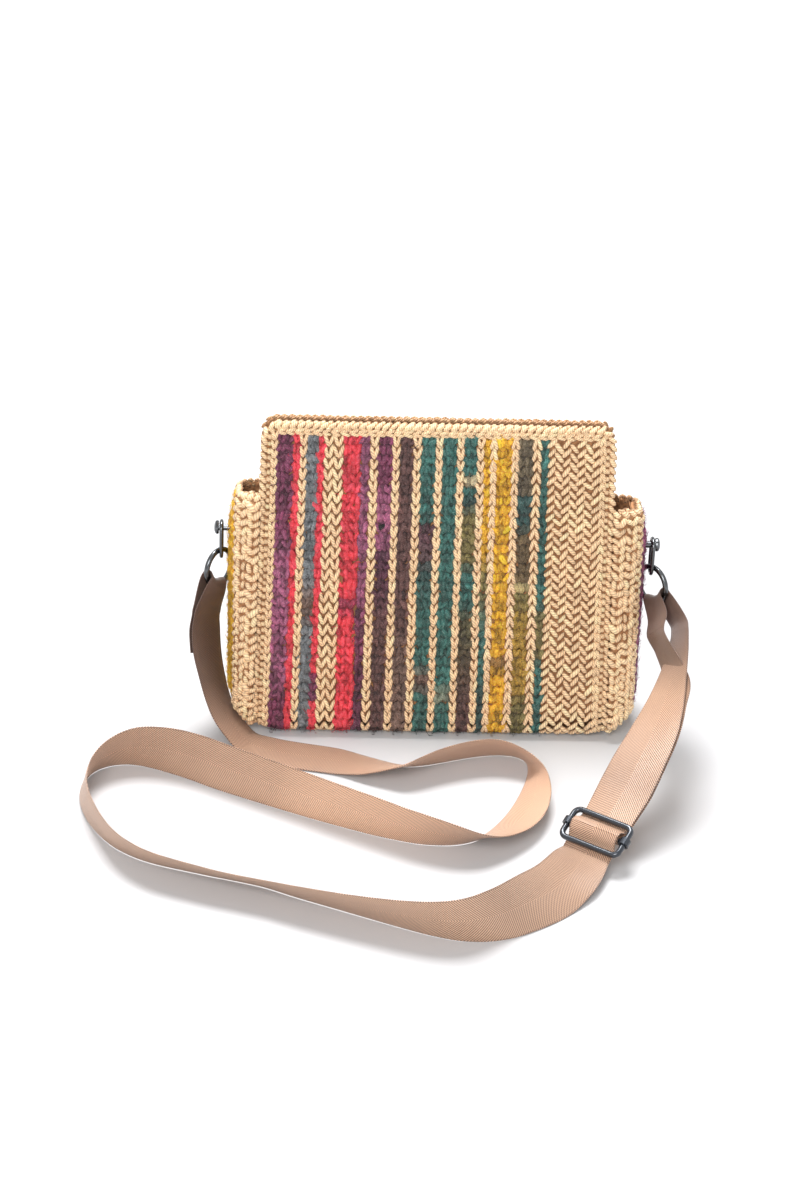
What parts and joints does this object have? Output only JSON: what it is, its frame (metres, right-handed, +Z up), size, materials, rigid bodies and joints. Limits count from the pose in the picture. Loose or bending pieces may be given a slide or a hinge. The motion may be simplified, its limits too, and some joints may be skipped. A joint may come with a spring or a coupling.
{
  "type": "crossbody bag",
  "caption": "Crocheted rectangular crossbody bag with striped wool rows, an open slot mouth, side rings and a long webbing strap with a slide adjuster.",
  "frame": {"origin": "bottom centre of the bag body, with its rings, on the floor it rests on", "axes": "+X to the bag's right seen from the front, -Y out of its front face, +Z up to the mouth"},
  "size_m": [0.353, 0.301, 0.1901],
  "materials": {
    "cord": "matt crocheted cotton cord",
    "plum": "matt fuzzy wool",
    "red": "matt fuzzy wool",
    "grey": "matt fuzzy wool",
    "mauve": "matt fuzzy wool",
    "brown": "matt fuzzy wool",
    "teal": "matt fuzzy wool",
    "olive": "matt fuzzy wool",
    "yellow": "matt fuzzy wool",
    "webbing": "satin twill webbing",
    "gunmetal": "polished dark gunmetal",
    "black_wire": "glossy blue-black enamel"
  },
  "bodies": {
    "bag": {"wrap_fabric": "cord", "wool_plum": "plum", "wool_red_narrow_1": "red", "chain_1": "cord", "wool_grey": "grey", "wool_red_narrow_2": "red", "chain_2": "cord", "chain_3": "cord", "wool_red": "red", "wool_mauve": "mauve", "chain_4": "cord", "wool_plum_brown": "mauve", "chain_5": "cord", "wool_brown": "brown", "chain_6": "cord", "wool_teal_1": "teal", "chain_7": "cord", "wool_teal_2": "teal", "chain_8": "cord", "wool_teal_olive": "olive", "chain_9": "cord", "wool_yellow_narrow": "yellow", "chain_10": "cord", "wool_yellow": "yellow", "chain_11": "cord", "wool_olive": "olive", "chain_12": "cord", "wool_teal_narrow": "teal", "braid_panel": "cord", "border_front": "cord", "border_back": "cord", "gusset_left": "cord", "gusset_wool_left": "yellow", "backing_washer_left": "gunmetal", "stud_left": "gunmetal", "gusset_right": "cord", "gusset_wool_right": "mauve", "backing_washer_right": "gunmetal", "stud_right": "gunmetal", "strap": "webbing", "adjuster_frame": "black_wire"},
    "link_left": {"link_left": "gunmetal"},
    "ring_left": {"ring_left": "gunmetal"},
    "link_right": {"link_right": "gunmetal"},
    "ring_right": {"ring_right": "gunmetal"},
    "adjuster_bar": {"adjuster_bar": "black_wire"}
  },
  "joints": [
    {"name": "link_left_swing", "type": "hinge", "parent": "bag", "child": "link_left", "pos_m": [-0.1281, 0, 0.1215], "axis": [1, 0, 0], "range_deg": [-20, 20], "deforming": ["strap"]},
    {"name": "ring_left_swing", "type": "hinge", "parent": "link_left", "child": "ring_left", "pos_m": [-0.12555, 0.003, 0.1055], "axis": [-0.5043, -0.6455, 0.5736], "range_deg": [-45, 0], "deforming": ["strap"]},
    {"name": "link_right_swing", "type": "hinge", "parent": "bag", "child": "link_right", "pos_m": [0.1281, 0, 0.1155], "axis": [1, 0, 0], "range_deg": [-20, 20], "deforming": ["strap"]},
    {"name": "ring_right_swing", "type": "hinge", "parent": "link_right", "child": "ring_right", "pos_m": [0.12555, 0.003, 0.0995], "axis": [0.5043, -0.6455, 0.5736], "range_deg": [0, 45], "deforming": ["strap"]},
    {"name": "adjuster_bar_slide", "type": "slide", "parent": "bag", "child": "adjuster_bar", "axis": [0.5126, 0.7176, 0.4716], "range_m": [-0.003, 0.003], "deforming": ["strap"]}
  ]
}
